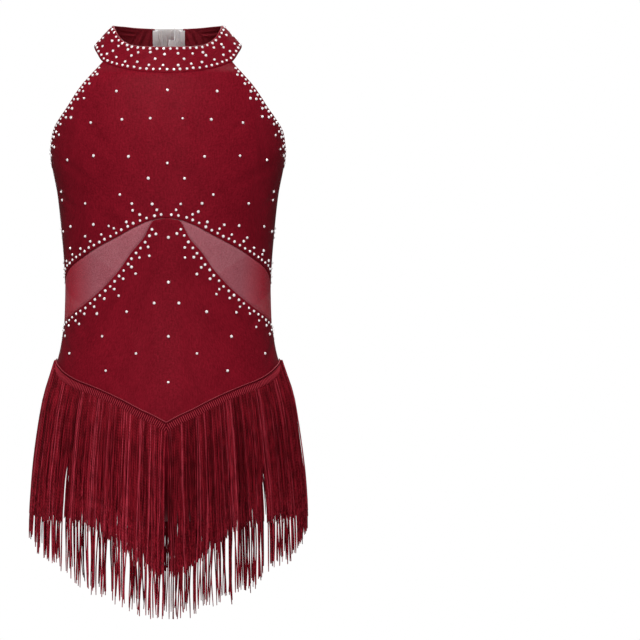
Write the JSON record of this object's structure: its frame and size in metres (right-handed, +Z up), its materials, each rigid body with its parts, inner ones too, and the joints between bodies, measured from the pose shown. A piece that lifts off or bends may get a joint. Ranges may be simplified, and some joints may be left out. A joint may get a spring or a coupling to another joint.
{
  "type": "halter latin dance leotard with a fringe skirt, filled out as worn",
  "caption": "Sleeveless halter dance leotard in burgundy satin and power net, with a keyhole back, a front-release neck clasp, rhinestones and a long chainette fringe skirt.",
  "frame": {"origin": "middle of the neck, level with the collar's side seam line, where the wearer's neck holds the garment up", "axes": "+Z up along the body, -Y is the garment's front, +X is the wearer's left side"},
  "size_m": [0.2882, 0.2003, 0.6191],
  "materials": {
    "satin": "stretch satin with a soft sheen, fine machine knit, burgundy",
    "net": "sheer power net, burgundy",
    "trim": "folded stretch binding, burgundy",
    "fringe": "rayon chainette fringe, burgundy",
    "clasp": "milky clear moulded plastic",
    "rhinestone": "faceted clear foiled stone"
  },
  "bodies": {
    "root": {"front_bodice": "satin", "front_net_left": "net", "front_net_right": "net", "front_lower": "satin", "collar": "satin", "clasp_left": "clasp", "clasp_right": "clasp", "back_net": "net", "keyhole_binding": "trim", "armhole_binding_left": "trim", "armhole_binding_right": "trim", "back_band": "satin", "back_waist_net": "net", "back_lower": "satin", "fringe_front": "fringe", "fringe_back": "fringe"}
  },
  "joints": []
}
